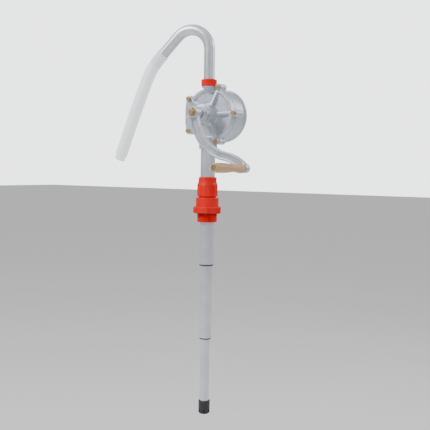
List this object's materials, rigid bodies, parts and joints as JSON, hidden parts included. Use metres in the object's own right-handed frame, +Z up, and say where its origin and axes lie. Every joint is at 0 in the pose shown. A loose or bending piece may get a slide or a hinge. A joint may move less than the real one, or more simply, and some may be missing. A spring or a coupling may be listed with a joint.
{
  "type": "drum barrel pump",
  "caption": "Hand-cranked rotary pump for drums, with a threaded bung adapter, swivelling bent spout, delivery hose and telescopic suction tube.",
  "frame": {"origin": "on the bung thread's axis, in the plane where the bung gasket rests on the drum head", "axes": "+Z up along the column, crankshaft along Y with the crank on the -Y side, spout towards -X"},
  "size_m": [0.4863, 0.338, 1.152],
  "materials": {
    "red_plastic": "glossy moulded red plastic",
    "black_rubber": "matt black rubber",
    "gasket_sheet": "dark grey jointing sheet",
    "drawn_tube": "satin zinc-plated drawn tube",
    "bush_plastic": "matt black moulded plastic",
    "cast_alloy": "satin grey cast aluminium with machined faces",
    "yellow_zinc": "yellow zinc-plated steel",
    "bright_steel": "bright turned steel",
    "rotor_alloy": "machined aluminium",
    "vane_plastic": "dark phenolic vane",
    "bronze": "sintered bronze",
    "packing": "greased braided packing",
    "beech": "oiled turned beech",
    "hose_plastic": "translucent white plastic hose"
  },
  "bodies": {
    "adapter": {"bung_adapter": "red_plastic", "bung_gasket": "black_rubber", "collet_ring": "black_rubber"},
    "clamp_nut_body": {"clamp_nut": "red_plastic"},
    "pump": {"column_tube": "drawn_tube", "column_end_bush": "bush_plastic", "front_housing": "cast_alloy", "rear_casing": "cast_alloy", "housing_gasket": "gasket_sheet", "cover_bolts": "yellow_zinc", "cover_washers": "yellow_zinc", "front_bush": "bronze", "rear_bush": "bronze", "packing_rings": "packing", "gland_nut": "cast_alloy", "spout_seal": "black_rubber"},
    "mid_tube": {"mid_suction_tube": "drawn_tube", "mid_stop_ring": "bush_plastic", "mid_end_bush": "bush_plastic"},
    "lower_tube": {"lower_suction_tube": "drawn_tube", "lower_stop_ring": "bush_plastic", "foot_strainer": "bush_plastic"},
    "crankshaft": {"shaft": "bright_steel", "rotor": "rotor_alloy", "rotor_key": "bright_steel", "crank_key": "bright_steel", "vane_1": "vane_plastic", "vane_2": "vane_plastic", "vane_3": "vane_plastic", "vane_springs": "bright_steel", "crank_arm": "cast_alloy", "crank_bolt": "yellow_zinc", "crank_washer": "yellow_zinc", "grip_spindle": "yellow_zinc", "spindle_nut": "yellow_zinc", "grip_washer": "yellow_zinc"},
    "grip": {"wooden_grip": "beech"},
    "collar": {"spout_collar": "red_plastic"},
    "spout": {"spout_tube": "drawn_tube", "delivery_hose": "hose_plastic", "hose_tip": "hose_plastic"}
  },
  "joints": [
    {"name": "clamp_nut_turn", "type": "hinge", "parent": "adapter", "child": "clamp_nut_body", "pos_m": [0, 0, 0.075], "axis": [0, 0, 1], "range_deg": [0, 180]},
    {"name": "column_height", "type": "slide", "parent": "adapter", "child": "pump", "axis": [0, 0, 1], "range_m": [-0.06, 0.08]},
    {"name": "mid_tube_slide", "type": "slide", "parent": "pump", "child": "mid_tube", "axis": [0, 0, 1], "range_m": [-0.148, 0.16]},
    {"name": "lower_tube_slide", "type": "slide", "parent": "mid_tube", "child": "lower_tube", "axis": [0, 0, 1], "range_m": [-0.143, 0.18]},
    {"name": "crank_spin", "type": "hinge", "parent": "pump", "child": "crankshaft", "pos_m": [0, -0.074, 0.29], "axis": [0, 1, 0], "continuous": true},
    {"name": "grip_spin", "type": "hinge", "parent": "crankshaft", "child": "grip", "pos_m": [0.16266, -0.16, 0.13349], "axis": [0, 1, 0], "continuous": true},
    {"name": "spout_collar_turn", "type": "hinge", "parent": "pump", "child": "collar", "pos_m": [0, 0, 0.38], "axis": [0, 0, 1], "range_deg": [0, 180]},
    {"name": "spout_swivel", "type": "hinge", "parent": "pump", "child": "spout", "pos_m": [0, 0, 0.38], "axis": [0, 0, 1], "range_deg": [-196, 0]}
  ]
}
